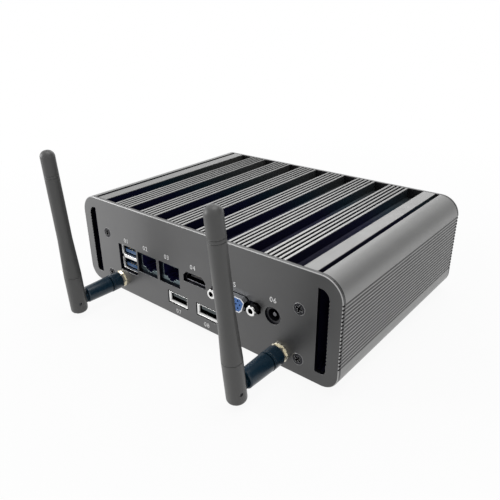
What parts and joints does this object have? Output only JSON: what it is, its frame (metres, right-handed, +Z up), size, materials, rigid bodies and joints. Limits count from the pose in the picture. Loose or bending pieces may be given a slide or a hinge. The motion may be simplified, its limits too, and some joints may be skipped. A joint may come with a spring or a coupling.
{
  "type": "fanless industrial pc",
  "caption": "Fanless industrial computer in a finned aluminium case with sockets, air slots and jointed screw-on antennas on one end plate.",
  "frame": {"origin": "centre of the four-hole mounting pattern on the underside of the base plate", "axes": "+X to the right of someone facing the input/output plate, +Y from that plate to the rear plate, +Z up"},
  "size_m": [0.178, 0.1726, 0.0955],
  "materials": {
    "case_coat": "satin dark grey anodised extrusion",
    "plate_coat": "matte dark grey fine powder coat",
    "base_coat": "matte dark grey powder coat",
    "rubber": "matte black rubber",
    "screw_black": "black zinc-plated steel",
    "nickel": "bright nickel plate",
    "board_green": "green solder mask",
    "chip": "processor carrier with metal lid",
    "pad_grey": "soft grey thermal pad",
    "bare_aluminium": "machined aluminium",
    "black_plastic": "fine satin black moulding",
    "blue_plastic": "satin blue moulding",
    "button_plastic": "smooth dark cap",
    "lead_sheath": "thin black coaxial sheath"
  },
  "bodies": {
    "case": {"antenna_coupling_left": "black_plastic", "antenna_coupling_right": "black_plastic", "antenna_jack_left": "nickel", "antenna_jack_right": "nickel", "antenna_lead_left": "lead_sheath", "antenna_lead_right": "lead_sheath", "antenna_nut_left": "nickel", "antenna_nut_right": "nickel", "antenna_washer_left": "nickel", "antenna_washer_right": "nickel", "base_plate": "base_coat", "base_screws": "screw_black", "board_posts": "nickel", "board_screws": "nickel", "cell_holder": "black_plastic", "coin_cell": "nickel", "daughter_board": "board_green", "daughter_board_posts": "nickel", "dc_jack_body": "black_plastic", "dc_jack_pin": "nickel", "feet": "rubber", "heat_block": "bare_aluminium", "heat_block_screws": "nickel", "housing": "case_coat", "io_plate": "plate_coat", "lan_jack_1_insert": "black_plastic", "lan_jack_1_shell": "nickel", "lan_jack_2_insert": "black_plastic", "lan_jack_2_shell": "nickel", "mainboard": "board_green", "memory_module": "board_green", "memory_socket": "black_plastic", "plate_screws": "screw_black", "power_button_body": "nickel", "power_button_nut": "nickel", "processor": "chip", "rear_plate": "plate_coat", "storage_drive": "bare_aluminium", "thermal_pad": "pad_grey", "usb_2_left_insert": "black_plastic", "usb_2_left_shell": "nickel", "usb_2_right_insert": "black_plastic", "usb_2_right_shell": "nickel", "usb_stack_shell": "nickel", "usb_stack_tongues": "blue_plastic", "vga_insert": "blue_plastic", "vga_jack_screws": "nickel", "vga_shell": "nickel", "video_port_insert": "black_plastic", "video_port_shell": "nickel", "wireless_card": "board_green", "wireless_socket": "black_plastic"},
    "button": {"power_button": "button_plastic"},
    "arm_left": {"antenna_arm_left": "black_plastic"},
    "blade_left": {"antenna_blade_left": "black_plastic", "antenna_pin_left": "nickel"},
    "arm_right": {"antenna_arm_right": "black_plastic"},
    "blade_right": {"antenna_blade_right": "black_plastic", "antenna_pin_right": "nickel"}
  },
  "joints": [
    {"name": "power_press", "type": "slide", "parent": "case", "child": "button", "axis": [0, -1, 0], "range_m": [0, 0.0015], "stiffness_N_per_m": 1200, "springref_m": -0.001},
    {"name": "swivel_left", "type": "hinge", "parent": "case", "child": "arm_left", "pos_m": [-0.0582, -0.0727, 0.008], "axis": [0, 1, 0], "range_deg": [-90, 35]},
    {"name": "tilt_left", "type": "hinge", "parent": "arm_left", "child": "blade_left", "pos_m": [-0.0582, -0.0958, 0.0067], "axis": [1, 0, 0], "range_deg": [-2.5, 87.5]},
    {"name": "swivel_right", "type": "hinge", "parent": "case", "child": "arm_right", "pos_m": [0.0582, -0.0727, 0.008], "axis": [0, 1, 0], "range_deg": [-35, 90]},
    {"name": "tilt_right", "type": "hinge", "parent": "arm_right", "child": "blade_right", "pos_m": [0.0582, -0.0958, 0.0067], "axis": [1, 0, 0], "range_deg": [-6.5, 83.5]}
  ]
}
